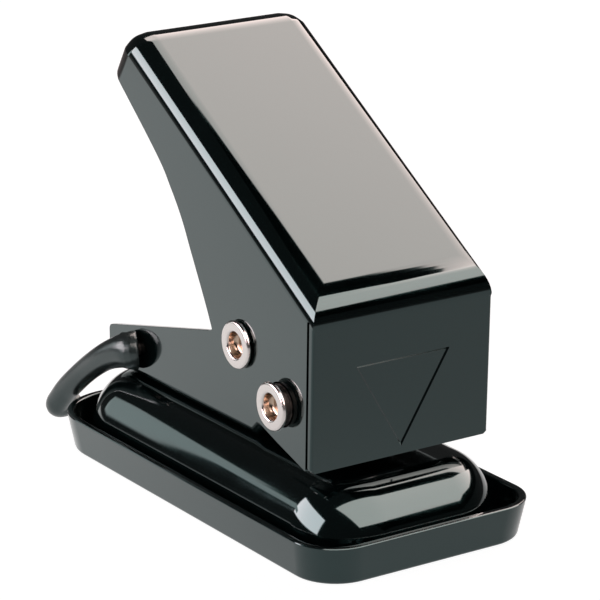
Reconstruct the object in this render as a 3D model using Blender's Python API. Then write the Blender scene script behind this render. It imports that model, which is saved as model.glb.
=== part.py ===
"""A single hole punch: a lever on a riveted bracket, a domed base and a plastic chip tray.

Metres, +Z up. The front, where the paper goes in, is at -Y, and the origin is the middle of
the tray's flat underside. The lever turns about the front rivet. Its rear rivet carries a roller
that drives the spring-loaded punch pin down through the guide and into the die in the base.
"""
import math

import bmesh
import bpy
from mathutils import Vector

# Shared clearances and mesh fineness
GAP = 0.0003
OVERRUN = 0.004
CROSSING = 0.00003
CORNER_STEPS = 6
ARC_STEPS = 8
ROUND_SIDES = 32
SMALL_ROUND_SIDES = 20

# Chip tray, moulded plastic
TRAY_WIDTH = 0.0475
TRAY_LENGTH = 0.0955
TRAY_HEIGHT = 0.0074
TRAY_DRAFT = 0.00125
TRAY_WALL = 0.0015
TRAY_FLOOR = 0.0014
TRAY_FRONT_CORNER = 0.0082
TRAY_REAR_CORNER = 0.0122
TRAY_EDGE = 0.0004

# Domed base, pressed steel
BASE_END_CLEARANCE = 0.0006
BASE_SIDE_CLEARANCE = 0.00145
BASE_FLAT_FRONT_CORNER = 0.0008
BASE_FLAT_REAR_CORNER = 0.0040
BASE_TOP = 0.0150
BASE_SHOULDER = 0.0098
BASE_SHEET = 0.0012
BASE_SKIRT_LIFT = 0.0007

# Bracket, pressed steel channel riveted on the base
BRACKET_WIDTH = 0.0260
BRACKET_SHEET = 0.0012
BRACKET_BEND = 0.0018
THROAT_HEIGHT = 0.0019
THROAT_DEPTH = 0.0384
BRACKET_FRONT = 0.0145
BRACKET_REAR_INSET = 0.0050
TOWER_REAR = 0.0512
TOWER_HEIGHT = 0.0279
TOWER_CHAMFER_RUN = 0.0050
TOWER_CHAMFER_DROP = 0.0090
ARM_ROOT_HEIGHT = 0.0172
ARM_END_HEIGHT = 0.0080
ARM_FILLET = 0.0035
BRACKET_CORNER = 0.0012

# Pivot, measured from the tray's front foot and from the floor
PIVOT_FROM_FRONT = 0.0196
PIVOT_HEIGHT = 0.0284
DRIVE_RUN = 0.0133
DRIVE_RISE = 0.0077
PRESS_ANGLE = math.radians(18)

# Lever, pressed steel
LEVER_FRONT = 0.0099
LEVER_FOOT = 0.0180
LEVER_WIDTH = 0.0392
LEVER_SHEET = 0.0012
LEVER_REACH = 0.0623
LEVER_RISE = 0.0707
LEVER_BEND = 0.0050
LEVER_FRONT_FOLD = 0.0045
LEVER_REAR_FOLD = 0.0065
LEVER_PLAN_CORNER = 0.0050
LEVER_SEAM_TOP = 0.0280
LEVER_TOP_FRONT_SHARES = (-0.0125, 0.451)
LEVER_LIP_CORNER = 0.0030
LEVER_TIP_CORNER = 0.0020
LEVER_EDGE_SHARES = (
    (0.032, 0.003),
    (0.443, 0.134),
    (0.483, 0.184),
    (0.541, 0.304),
    (0.632, 0.450),
    (0.680, 0.535),
    (0.740, 0.598),
    (0.820, 0.676),
    (1.086, 0.875),
)

# Tubular rivets, nickel-plated steel
RIVET_RADIUS = 0.0030
RIVET_BORE = 0.0024
RIVET_HEAD_RADIUS = 0.00455
RIVET_HEAD = 0.0009
RIVET_HEAD_EDGE = 0.0003
PIVOT_SLEEVE_WALL = 0.0006
PIVOT_SLEEVE_PROUD = 0.0012
SPACER_WALL = 0.0014
ROLLER_WALL = 0.0007

# Punch pin, clip, spring cap and spring, hardened and spring steel
PUNCH_RADIUS = 0.0030
PUNCH_FROM_PIVOT = 0.0128
PUNCH_POINT_LIFT = 0.0003
PUNCH_HOLLOW = 0.0005
CLIP_FROM_TOP = 0.0009
CLIP_THICKNESS = 0.0006
CLIP_RADIUS = 0.0046
CLIP_GROOVE = 0.0006
CLIP_OPENING = math.radians(70)
CAP_RADIUS = 0.0052
CAP_THICKNESS = 0.0007
CAP_LIP = 0.0006
SPRING_RADIUS = 0.0042
SPRING_WIRE = 0.0008
SPRING_TURNS = 3
SPRING_POINTS_PER_TURN = 10

# Guide bush in the bracket's floor and die bush in the base
GUIDE_RADIUS = 0.0043
GUIDE_FLANGE_RADIUS = 0.0056
GUIDE_FLANGE = 0.0008
DIE_RADIUS = 0.0050
DIE_DEPTH = 0.0028
DIE_EDGE = 0.0003

# Rivets that hold the bracket on the base
FIXING_RADIUS = 0.0015
FIXING_HEAD_RADIUS = 0.0028
FIXING_HEAD = 0.0010
FIXING_SPREAD = 0.0150
FIXING_FROM_THROAT = 0.0076
FIXING_REAR_INSET = 0.0036

# Tray catch, a moulded plastic arm on a stud in the bracket's left wall
CATCH_FROM_REAR = 0.0155
CATCH_HUB_CLEARANCE = 0.0020
CATCH_HUB_RADIUS = 0.0042
CATCH_HUB_LENGTH = 0.0048
CATCH_HUB_EDGE = 0.0006
CATCH_ARM_RADIUS = 0.0021
CATCH_RIM_CLEARANCE = 0.00175
CATCH_TIP_LIFT = 0.0025
CATCH_SPREAD = 0.0052
CATCH_HOOK = 0.0060
CATCH_TURN_SHARE = 0.85
CATCH_STEPS_PER_SPAN = 6
CATCH_ROUTE_SHARES = (
    (0.00, 0.04, -0.06),
    (0.16, 0.25, -0.13),
    (0.40, 0.51, -0.36),
    (0.66, 0.77, -0.64),
    (0.93, 0.97, -0.91),
)
STUD_RADIUS = 0.0016
STUD_HEAD_RADIUS = 0.0026
STUD_HEAD = 0.0008
STUD_WASHER_RADIUS = 0.0032
STUD_WASHER = 0.0005

# Places worked out from the sizes above
FRONT = -TRAY_LENGTH / 2
TRAY_REAR = TRAY_LENGTH / 2
BASE_END_MARGIN = TRAY_WALL + BASE_END_CLEARANCE + BASE_SHOULDER
BASE_SIDE_MARGIN = TRAY_WALL + BASE_SIDE_CLEARANCE + BASE_SHOULDER
BASE_FLAT_FRONT = FRONT + BASE_END_MARGIN
BASE_FLAT_REAR = TRAY_REAR - BASE_END_MARGIN
BASE_FLAT_HALF = TRAY_WIDTH / 2 - BASE_SIDE_MARGIN
BASE_FOOT = BASE_TOP - BASE_SHOULDER
BASE_SKIRT = TRAY_FLOOR + BASE_SKIRT_LIFT
FLOOR_LOW = BASE_TOP + GAP
FLOOR_HIGH = BASE_TOP + THROAT_HEIGHT
FLOOR_HIGH_TOP = FLOOR_HIGH + BRACKET_SHEET
FLOOR_LOW_TOP = FLOOR_LOW + BRACKET_SHEET
THROAT_END = FRONT + THROAT_DEPTH
PIVOT_Y = FRONT + PIVOT_FROM_FRONT
PIVOT_Z = PIVOT_HEIGHT
DRIVE_Y = PIVOT_Y + DRIVE_RUN
DRIVE_Z = PIVOT_Z + DRIVE_RISE
DRIVE_RADIUS = math.hypot(DRIVE_RUN, DRIVE_RISE)
DRIVE_ANGLE = math.atan2(DRIVE_RISE, DRIVE_RUN)
DRIVE_END_Y = PIVOT_Y + DRIVE_RADIUS * math.cos(DRIVE_ANGLE - PRESS_ANGLE)
DRIVE_END_Z = PIVOT_Z + DRIVE_RADIUS * math.sin(DRIVE_ANGLE - PRESS_ANGLE)
PUNCH_TRAVEL = DRIVE_Z - DRIVE_END_Z
ROLLER_RADIUS = RIVET_RADIUS + GAP + ROLLER_WALL
PUNCH_Y = PIVOT_Y + PUNCH_FROM_PIVOT
PUNCH_TOP = DRIVE_Z - ROLLER_RADIUS - GAP
PUNCH_POINT = FLOOR_HIGH + PUNCH_POINT_LIFT
GUIDE_TOP = FLOOR_HIGH_TOP + GAP + GUIDE_FLANGE
CLIP_TOP = PUNCH_TOP - CLIP_FROM_TOP
CLIP_BOTTOM = CLIP_TOP - CLIP_THICKNESS
CAP_TOP = CLIP_BOTTOM - GAP
CAP_BOTTOM = CAP_TOP - CAP_THICKNESS
WALL_OUT = BRACKET_WIDTH / 2
WALL_IN = WALL_OUT - BRACKET_SHEET
LEVER_OUT = LEVER_WIDTH / 2
LEVER_IN = LEVER_OUT - LEVER_SHEET
SLEEVE_RADIUS = RIVET_RADIUS + GAP + PIVOT_SLEEVE_WALL
SLEEVE_END = LEVER_OUT + PIVOT_SLEEVE_PROUD
FIXING_FRONT_Y = THROAT_END + FIXING_FROM_THROAT
FIXING_REAR_Y = BASE_FLAT_REAR - FIXING_REAR_INSET
CATCH_Y = TRAY_REAR - CATCH_FROM_REAR
CATCH_Z = BASE_TOP + CATCH_HUB_CLEARANCE + CATCH_HUB_RADIUS
CATCH_REACH = CATCH_FROM_REAR + TRAY_DRAFT + CATCH_RIM_CLEARANCE + CATCH_ARM_RADIUS
CATCH_DROP = CATCH_Z - CATCH_TIP_LIFT - CATCH_ARM_RADIUS


def clear_scene():
    for item in list(bpy.data.objects):
        bpy.data.objects.remove(item, do_unlink=True)


def finish_material(name, colour, roughness, metallic):
    material = bpy.data.materials.new(name)
    material.use_nodes = True
    shader = material.node_tree.nodes["Principled BSDF"]
    shader.inputs["Base Color"].default_value = (*colour, 1)
    shader.inputs["Roughness"].default_value = roughness
    shader.inputs["Metallic"].default_value = metallic
    return material


def add_object(name, mesh, origin=(0, 0, 0)):
    """Link a mesh whose points are in world metres, with its origin moved to a given point."""
    piece = bpy.data.objects.new(name, mesh)
    bpy.context.collection.objects.link(piece)
    for vertex in mesh.vertices:
        vertex.co -= Vector(origin)
    piece.location = origin
    return piece


def mesh_from(build, name):
    work = bmesh.new()
    build(work)
    bmesh.ops.remove_doubles(work, verts=work.verts, dist=GAP / 100)
    bmesh.ops.recalc_face_normals(work, faces=work.faces)
    mesh = bpy.data.meshes.new(name)
    work.to_mesh(mesh)
    work.free()
    return mesh


def loft(name, rings, closed=False):
    """Skin rings of equal point counts: capped at both ends, or joined end to end if closed."""

    def build(work):
        loops = [[work.verts.new(point) for point in ring] for ring in rings]
        pairs = list(zip(loops, loops[1:]))
        if closed:
            pairs.append((loops[-1], loops[0]))
        for lower, upper in pairs:
            for index in range(len(lower)):
                after = (index + 1) % len(lower)
                work.faces.new((lower[index], lower[after], upper[after], upper[index]))
        if not closed:
            work.faces.new(loops[0])
            work.faces.new(loops[-1])

    return add_object(name, mesh_from(build, name))


def rounded_box_ring(half_width, front, rear, front_corner, rear_corner, grow, height):
    """Outline of a rounded rectangle, moved outwards by grow, at one height."""
    half = half_width + grow
    corners = (
        (half, rear + grow, rear_corner + grow, 0),
        (-half, rear + grow, rear_corner + grow, 1),
        (-half, front - grow, front_corner + grow, 2),
        (half, front - grow, front_corner + grow, 3),
    )
    points = []
    for x, y, radius, quarter in corners:
        radius = max(radius, GAP)
        centre_x = x - math.copysign(radius, x)
        centre_y = y - radius if quarter < 2 else y + radius
        for step in range(CORNER_STEPS + 1):
            angle = (quarter + step / CORNER_STEPS) * math.pi / 2
            points.append((centre_x + radius * math.cos(angle), centre_y + radius * math.sin(angle), height))
    return points


def rounded_outline(points, radii, steps=CORNER_STEPS):
    """Closed outline with an arc of the given radius at each corner, 0 leaving it sharp."""
    result = []
    for index, corner in enumerate(points):
        here = Vector(corner)
        radius = radii[index]
        to_last = (Vector(points[index - 1]) - here).normalized()
        to_next = (Vector(points[(index + 1) % len(points)]) - here).normalized()
        half_angle = to_last.angle(to_next) / 2
        if radius == 0:
            result.append(tuple(here))
            continue
        centre = here + (to_last + to_next).normalized() * (radius / math.sin(half_angle))
        start = here + to_last * (radius / math.tan(half_angle)) - centre
        end = here + to_next * (radius / math.tan(half_angle)) - centre
        sweep = start.angle_signed(end)
        base = math.atan2(start.y, start.x)
        for step in range(steps + 1):
            angle = base - sweep * step / steps
            result.append((centre.x + radius * math.cos(angle), centre.y + radius * math.sin(angle)))
    return result


def side_prism(name, outline, low, high):
    """Prism along X from an outline of (y, z) points."""
    return loft(name, [[(x, y, z) for y, z in outline] for x in (low, high)])


def plan_prism(name, outline, low, high):
    """Prism along Z from an outline of (x, y) points."""
    return loft(name, [[(x, y, z) for x, y in outline] for z in (low, high)])


def circle_ring(radius, along, centre, axis, sides):
    """Ring of points round an axis through centre, at a distance along the axis."""
    points = []
    for side in range(sides):
        angle = 2 * math.pi * side / sides
        first = radius * math.cos(angle)
        second = radius * math.sin(angle)
        if axis == "X":
            points.append((centre[0] + along, centre[1] + first, centre[2] + second))
        else:
            points.append((centre[0] + first, centre[1] + second, centre[2] + along))
    return points


def turned(name, profile, centre, axis="Z", closed=False, sides=ROUND_SIDES):
    """Turn (radius, along) points round an axis; a closed profile leaves a bore."""
    return loft(name, [circle_ring(r, along, centre, axis, sides) for r, along in profile], closed)


def tube(name, outer, inner, low, high, centre, axis="Z", sides=ROUND_SIDES, edge=0):
    profile = [
        (inner, low),
        (outer - edge, low),
        (outer, low + edge),
        (outer, high - edge),
        (outer - edge, high),
        (inner, high),
    ]
    if edge == 0:
        profile = [(inner, low), (outer, low), (outer, high), (inner, high)]
    return turned(name, profile, centre, axis, True, sides)


def combine(piece, tool, operation):
    """Apply an exact Boolean with a tool object and delete the tool."""
    modifier = piece.modifiers.new(operation, "BOOLEAN")
    modifier.operation = operation
    modifier.solver = "EXACT"
    modifier.object = tool
    bpy.context.view_layer.update()
    graph = bpy.context.evaluated_depsgraph_get()
    result = bpy.data.meshes.new_from_object(piece.evaluated_get(graph))
    piece.modifiers.clear()
    old = piece.data
    piece.data = result
    bpy.data.meshes.remove(old)
    bpy.data.objects.remove(tool, do_unlink=True)
    return piece


def cut(piece, *tools):
    for tool in tools:
        combine(piece, tool, "DIFFERENCE")
    return piece


def fuse(piece, *tools):
    for tool in tools:
        combine(piece, tool, "UNION")
    return piece


def hole(radius, low, high, centre, axis="Z", sides=ROUND_SIDES):
    return turned("hole", [(radius, low), (radius, high)], centre, axis, False, sides)


def dress(piece, material, smooth_degrees=35):
    piece.data.materials.clear()
    piece.data.materials.append(material)
    piece.data.shade_smooth()
    piece.data.set_sharp_from_angle(angle=math.radians(smooth_degrees))
    return piece


def move_origin(piece, origin):
    """Put a moving piece's origin on its joint's axis and leave its shape where it is."""
    shift = Vector(origin) - piece.location
    for vertex in piece.data.vertices:
        vertex.co -= shift
    piece.location = origin
    return piece


def chip_tray():
    rounds = (TRAY_WIDTH / 2, FRONT, TRAY_REAR, TRAY_FRONT_CORNER, TRAY_REAR_CORNER)
    inner = TRAY_DRAFT - TRAY_WALL
    heights = (
        (-TRAY_EDGE, 0),
        (0, TRAY_EDGE),
        (TRAY_DRAFT, TRAY_HEIGHT - TRAY_EDGE),
        (TRAY_DRAFT - TRAY_EDGE, TRAY_HEIGHT),
        (inner + TRAY_EDGE, TRAY_HEIGHT),
        (inner, TRAY_HEIGHT - TRAY_EDGE),
        (-TRAY_WALL, TRAY_FLOOR + TRAY_EDGE),
        (-TRAY_WALL - TRAY_EDGE, TRAY_FLOOR),
    )
    return loft("chip_tray", [rounded_box_ring(*rounds, grow, z) for grow, z in heights])


def fixing_places():
    for end, y in (("front", FIXING_FRONT_Y), ("rear", FIXING_REAR_Y)):
        for side, hand in ((-1, "left"), (1, "right")):
            yield f"bracket_rivet_{end}_{hand}", side * FIXING_SPREAD / 2, y


def base_plate():
    """Rounded shoulder swept round the flat top, then a short skirt, at one sheet's thickness."""
    flat = (
        BASE_FLAT_HALF,
        BASE_FLAT_FRONT,
        BASE_FLAT_REAR,
        BASE_FLAT_FRONT_CORNER,
        BASE_FLAT_REAR_CORNER,
    )
    inner = BASE_SHOULDER - BASE_SHEET
    rings = []
    for step in range(ARC_STEPS + 1):
        angle = math.pi / 2 * step / ARC_STEPS
        height = BASE_FOOT + BASE_SHOULDER * math.cos(angle)
        rings.append(rounded_box_ring(*flat, BASE_SHOULDER * math.sin(angle), height))
    rings.append(rounded_box_ring(*flat, BASE_SHOULDER, BASE_SKIRT))
    rings.append(rounded_box_ring(*flat, inner, BASE_SKIRT))
    for step in reversed(range(ARC_STEPS + 1)):
        angle = math.pi / 2 * step / ARC_STEPS
        height = BASE_FOOT + inner * math.cos(angle)
        rings.append(rounded_box_ring(*flat, inner * math.sin(angle), height))
    plate = loft("base_plate", rings)
    low = BASE_TOP - BASE_SHEET - OVERRUN
    high = BASE_TOP + OVERRUN
    cut(plate, hole(DIE_RADIUS + GAP, low, high, (0, PUNCH_Y, 0)))
    for _, x, y in fixing_places():
        cut(plate, hole(FIXING_RADIUS + GAP, low, high, (x, y, 0), sides=SMALL_ROUND_SIDES))
    return plate


def channel(name, floor, front, rear, top):
    """U channel along Y with bent lower corners, its floor's underside at a given height."""
    half = WALL_OUT
    inner_bend = BRACKET_BEND - BRACKET_SHEET
    corners = [
        (-half, top),
        (-half, floor),
        (half, floor),
        (half, top),
        (half - BRACKET_SHEET, top),
        (half - BRACKET_SHEET, floor + BRACKET_SHEET),
        (-half + BRACKET_SHEET, floor + BRACKET_SHEET),
        (-half + BRACKET_SHEET, top),
    ]
    radii = [0, BRACKET_BEND, BRACKET_BEND, 0, 0, inner_bend, inner_bend, 0]
    outline = rounded_outline(corners, radii, ARC_STEPS // 2)
    return loft(name, [[(x, y, z) for x, z in outline] for y in (front, rear)])


def bracket_side_outline():
    tower_top = FLOOR_HIGH + TOWER_HEIGHT - BRACKET_SHEET
    front = FRONT + BRACKET_FRONT
    rear = TRAY_REAR - BRACKET_REAR_INSET
    tower_rear = FRONT + TOWER_REAR
    points = [
        (front, FLOOR_LOW - OVERRUN),
        (rear, FLOOR_LOW - OVERRUN),
        (rear, FLOOR_LOW + ARM_END_HEIGHT),
        (tower_rear, FLOOR_LOW + ARM_ROOT_HEIGHT),
        (tower_rear, tower_top),
        (front + TOWER_CHAMFER_RUN, tower_top),
        (front, tower_top - TOWER_CHAMFER_DROP),
    ]
    corner = BRACKET_CORNER
    radii = [0, 0, corner, ARM_FILLET, 2 * corner, 2 * corner, 2 * corner]
    return rounded_outline(points, radii)


def capsule(name, start, end, radius):
    """Prism along X round two (y, z) points, for a slot that a pin sweeps."""
    run = Vector(end) - Vector(start)
    base = math.atan2(run.y, run.x)
    outline = []
    for centre, offset in ((end, -math.pi / 2), (start, math.pi / 2)):
        for step in range(ARC_STEPS + 1):
            angle = base + offset + math.pi * step / ARC_STEPS
            outline.append((centre[0] + radius * math.cos(angle), centre[1] + radius * math.sin(angle)))
    return side_prism(name, outline, -WALL_OUT - OVERRUN, WALL_OUT + OVERRUN)


def frame_bracket():
    front = FRONT + BRACKET_FRONT
    rear = TRAY_REAR - BRACKET_REAR_INSET
    top = FLOOR_HIGH + TOWER_HEIGHT
    low_front = THROAT_END
    high_rear = THROAT_END + BRACKET_SHEET
    bracket = channel("frame_bracket", FLOOR_HIGH, front - OVERRUN, high_rear, top)
    lower = channel("lower", FLOOR_LOW, low_front, rear + OVERRUN, top)
    riser_half = WALL_IN + BRACKET_SHEET / 2
    riser = side_prism(
        "riser",
        [
            (low_front, FLOOR_LOW + BRACKET_SHEET / 2),
            (high_rear, FLOOR_LOW + BRACKET_SHEET / 2),
            (high_rear, FLOOR_HIGH_TOP - BRACKET_SHEET / 2),
            (low_front, FLOOR_HIGH_TOP - BRACKET_SHEET / 2),
        ],
        -riser_half,
        riser_half,
    )
    fuse(bracket, lower, riser)
    trim = side_prism("trim", bracket_side_outline(), -WALL_OUT - OVERRUN, WALL_OUT + OVERRUN)
    combine(bracket, trim, "INTERSECT")
    wide = WALL_OUT + OVERRUN
    cut(bracket, hole(RIVET_RADIUS + GAP, -wide, wide, (0, PIVOT_Y, PIVOT_Z), "X"))
    slot_radius = RIVET_RADIUS + 2 * GAP
    cut(bracket, capsule("slot", (DRIVE_Y, DRIVE_Z), (DRIVE_END_Y, DRIVE_END_Z), slot_radius))
    stud_place = (0, CATCH_Y, CATCH_Z)
    cut(bracket, hole(STUD_RADIUS + GAP, -wide, 0, stud_place, "X", SMALL_ROUND_SIDES))
    low = FLOOR_LOW - OVERRUN
    high = FLOOR_HIGH_TOP + OVERRUN
    cut(bracket, hole(GUIDE_RADIUS + GAP, low, high, (0, PUNCH_Y, 0)))
    for _, x, y in fixing_places():
        cut(bracket, hole(FIXING_RADIUS + GAP, low, high, (x, y, 0), sides=SMALL_ROUND_SIDES))
    return bracket


def lever_points():
    """Side outline of the lever: foot, lower edge with its tip last, rear top and front top."""
    foot = Vector((FRONT + LEVER_FRONT, LEVER_FOOT))
    edge = [foot + Vector((LEVER_REACH * a, LEVER_RISE * b)) for a, b in LEVER_EDGE_SHARES]
    rear_top = foot + Vector((LEVER_REACH, LEVER_RISE))
    front_share, top_share = LEVER_TOP_FRONT_SHARES
    front_top = foot + Vector((LEVER_REACH * front_share, LEVER_RISE * top_share))
    return foot, edge, rear_top, front_top


def meet(first, second):
    """Crossing of two lines, each a point and a direction in a plane."""
    (p, d), (q, e) = first, second
    across = d.x * e.y - d.y * e.x
    share = ((q.x - p.x) * e.y - (q.y - p.y) * e.x) / across
    return p + d * share


def lever_hull(name, inset):
    """The lever's solid outer form, or its inner form drawn in by one sheet and open below."""
    foot, edge, rear_top, front_top = lever_points()
    slope = (rear_top - front_top).normalized()
    normal = Vector((-slope.y, slope.x))
    front_run = (front_top - foot).normalized()
    front_in = Vector((front_run.y, -front_run.x))
    front_line = (foot + front_in * inset, front_run)
    top_line = (front_top - normal * inset, slope)
    rear_line = (rear_top - slope * inset, normal)
    front_corner = meet(front_line, top_line)
    rear_corner = meet(top_line, rear_line)
    folds = [LEVER_REAR_FOLD - inset, LEVER_FRONT_FOLD - inset]
    if inset == 0:
        points = [foot, *edge, rear_corner, front_corner]
        radii = [0] * len(points)
        radii[2] = LEVER_LIP_CORNER
        radii[len(edge)] = LEVER_TIP_CORNER
        radii[-2:] = folds
    else:
        below = (foot - Vector((0, OVERRUN)), Vector((1, 0)))
        points = [meet(front_line, below), meet(rear_line, below), rear_corner, front_corner]
        radii = [0, 0, *folds]
    wide = LEVER_OUT + OVERRUN
    hull = side_prism(name, rounded_outline([tuple(p) for p in points], radii), -wide, wide)

    def place(x, along, height):
        point = front_top + slope * along + normal * height
        return (x, point.x, point.y)

    half = LEVER_OUT - inset
    bend = LEVER_BEND - inset
    section = rounded_outline(
        [(-half, -LEVER_REACH), (half, -LEVER_REACH), (half, -inset), (-half, -inset)],
        [0, 0, bend, bend],
    )
    ends = (-LEVER_RISE, LEVER_REACH + LEVER_RISE)
    combine(hull, loft("section", [[place(x, end, h) for x, h in section] for end in ends]), "INTERSECT")

    corner = LEVER_PLAN_CORNER - inset
    rear = (rear_top - front_top).length - inset + CROSSING
    side = half + CROSSING
    outline = rounded_outline(
        [(-side, -LEVER_REACH), (side, -LEVER_REACH), (side, rear), (-side, rear)],
        [0, 0, corner, corner],
    )
    levels = (-2 * LEVER_RISE, OVERRUN)
    combine(hull, loft("plan", [[place(x, s, level) for x, s in outline] for level in levels]), "INTERSECT")
    return hull


def lever_shell():
    shell = lever_hull("lever_shell", 0)
    cut(shell, lever_hull("inside", LEVER_SHEET))
    foot, _, _, front_top = lever_points()
    run = (front_top - foot).normalized()
    across = Vector((run.y, -run.x))
    near = foot + across * (LEVER_SHEET - CROSSING)
    far = near + across * GAP
    low = -run * OVERRUN
    high = run * LEVER_SEAM_TOP
    seam = [near + low, far + low, far + high, near + high]
    for side in (-1, 1):
        ends = sorted((side * (LEVER_IN - GAP), side * (LEVER_OUT + OVERRUN)))
        cut(shell, side_prism("seam", [tuple(p) for p in seam], *ends))
    wide = LEVER_OUT + OVERRUN
    cut(shell, hole(SLEEVE_RADIUS + GAP, -wide, wide, (0, PIVOT_Y, PIVOT_Z), "X"))
    cut(shell, hole(RIVET_RADIUS + GAP, -wide, wide, (0, DRIVE_Y, DRIVE_Z), "X"))
    return shell


def tubular_rivet(name, grip, centre):
    """Hollow rivet along X with a flat flange at each end, its grip measured from the middle."""
    edge = RIVET_HEAD_EDGE
    head = grip + RIVET_HEAD
    half = [
        (RIVET_BORE, head - edge),
        (RIVET_BORE + edge, head),
        (RIVET_HEAD_RADIUS - edge, head - edge / 2),
        (RIVET_HEAD_RADIUS, grip + edge),
        (RIVET_HEAD_RADIUS - edge, grip),
        (RIVET_RADIUS, grip),
    ]
    profile = half + [(radius, -along) for radius, along in reversed(half)]
    return turned(name, profile, centre, "X", True)


def side_tube(name, outer, inner, near, far, side, place):
    low, high = sorted((side * near, side * far))
    return tube(name, outer, inner, low, high, place, "X")


def fixing(name, x, y):
    """One rivet of the bracket, domed above the bracket's floor and set under the base's sheet."""
    top = FLOOR_LOW_TOP + GAP
    under = BASE_TOP - BASE_SHEET - GAP
    edge = FIXING_HEAD / 3
    profile = [
        (FIXING_HEAD_RADIUS - edge, under - FIXING_HEAD),
        (FIXING_HEAD_RADIUS, under - edge),
        (FIXING_HEAD_RADIUS, under),
        (FIXING_RADIUS, under),
        (FIXING_RADIUS, top),
        (FIXING_HEAD_RADIUS, top),
        (FIXING_HEAD_RADIUS - edge, top + 2 * edge),
        (FIXING_RADIUS, top + FIXING_HEAD),
    ]
    return turned(name, profile, (x, y, 0), sides=SMALL_ROUND_SIDES)


def guide_bush():
    bore = PUNCH_RADIUS + GAP
    flange_low = FLOOR_HIGH_TOP + GAP
    profile = [
        (bore, FLOOR_HIGH),
        (GUIDE_RADIUS, FLOOR_HIGH),
        (GUIDE_RADIUS, flange_low),
        (GUIDE_FLANGE_RADIUS, flange_low),
        (GUIDE_FLANGE_RADIUS, GUIDE_TOP),
        (bore, GUIDE_TOP),
    ]
    return turned("guide_bush", profile, (0, PUNCH_Y, 0), "Z", True)


def die_bush():
    low = BASE_TOP - DIE_DEPTH
    return tube("die_bush", DIE_RADIUS, PUNCH_RADIUS + GAP, low, BASE_TOP, (0, PUNCH_Y, 0), edge=DIE_EDGE)


def punch_pin():
    """Solid pin with a hollow-ground cutting end and a groove for its clip."""
    groove = PUNCH_RADIUS - CLIP_GROOVE
    profile = [
        (PUNCH_HOLLOW, PUNCH_POINT + PUNCH_HOLLOW),
        (PUNCH_RADIUS, PUNCH_POINT),
        (PUNCH_RADIUS, CLIP_BOTTOM - GAP),
        (groove, CLIP_BOTTOM - GAP),
        (groove, CLIP_TOP + GAP),
        (PUNCH_RADIUS, CLIP_TOP + GAP),
        (PUNCH_RADIUS, PUNCH_TOP),
    ]
    return turned("punch_pin", profile, (0, PUNCH_Y, 0))


def punch_clip():
    """Open ring in the pin's groove."""
    inner = PUNCH_RADIUS - CLIP_GROOVE + GAP
    outline = []
    sweep = 2 * math.pi - CLIP_OPENING
    start = math.pi / 2 + CLIP_OPENING / 2
    steps = 2 * ARC_STEPS
    for radius, order in ((CLIP_RADIUS, range(steps + 1)), (inner, reversed(range(steps + 1)))):
        for step in order:
            angle = start + sweep * step / steps
            outline.append((radius * math.cos(angle), PUNCH_Y + radius * math.sin(angle)))
    return plan_prism("punch_clip", outline, CLIP_BOTTOM, CLIP_TOP)


def spring_cap():
    """Cup washer under the clip, its lip turned down round the spring's top coil."""
    bore = PUNCH_RADIUS + GAP
    lip = CAP_RADIUS - CAP_LIP
    low = CAP_BOTTOM - SPRING_WIRE
    profile = [
        (bore, CAP_BOTTOM),
        (lip, CAP_BOTTOM),
        (lip, low),
        (CAP_RADIUS, low),
        (CAP_RADIUS, CAP_TOP - GAP),
        (CAP_RADIUS - GAP, CAP_TOP),
        (bore, CAP_TOP),
    ]
    return turned("spring_cap", profile, (0, PUNCH_Y, 0), "Z", True)


def spring_route():
    """Helix between the guide's flange and the cap, with a straight wire's width at each end."""
    low = GUIDE_TOP + GAP + SPRING_WIRE / 2
    high = CAP_BOTTOM - GAP - SPRING_WIRE / 2
    radius = SPRING_RADIUS - SPRING_WIRE / 2
    count = SPRING_TURNS * SPRING_POINTS_PER_TURN
    points = []
    for step in range(count + 1):
        angle = 2 * math.pi * step / SPRING_POINTS_PER_TURN
        height = low + (high - low) * step / count
        points.append(Vector((radius * math.cos(angle), PUNCH_Y + radius * math.sin(angle), height)))
    points.insert(0, points[0] - Vector((0, SPRING_WIRE, 0)))
    points.append(points[-1] + Vector((0, SPRING_WIRE, 0)))
    return points


def least_self_gap(points, radius, skip):
    least = math.inf
    for index, first in enumerate(points):
        for second in points[index + skip:]:
            least = min(least, (first - second).length - 2 * radius)
    return least


def wire(name, points, radius, resolution):
    """Round bar along a chain of points, closed at both ends."""
    curve = bpy.data.curves.new(name, "CURVE")
    curve.dimensions = "3D"
    curve.bevel_depth = radius
    curve.bevel_resolution = resolution
    curve.use_fill_caps = True
    spline = curve.splines.new("POLY")
    spline.points.add(len(points) - 1)
    for place, point in zip(spline.points, points):
        place.co = (*point, 1)
    guide = bpy.data.objects.new(name, curve)
    bpy.context.collection.objects.link(guide)
    bpy.context.view_layer.update()
    graph = bpy.context.evaluated_depsgraph_get()
    mesh = bpy.data.meshes.new_from_object(guide.evaluated_get(graph))
    bpy.data.objects.remove(guide, do_unlink=True)
    work = bmesh.new()
    work.from_mesh(mesh)
    bmesh.ops.remove_doubles(work, verts=work.verts, dist=GAP / 100)
    bmesh.ops.recalc_face_normals(work, faces=work.faces)
    work.to_mesh(mesh)
    work.free()
    return add_object(name, mesh)


def return_spring():
    route = spring_route()
    gap = least_self_gap(route, SPRING_WIRE / 2, SPRING_POINTS_PER_TURN // 2)
    print("return spring, least gap between coils (mm):", round(gap * 1000, 3))
    return wire("return_spring", route, SPRING_WIRE / 2, 1)


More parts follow.
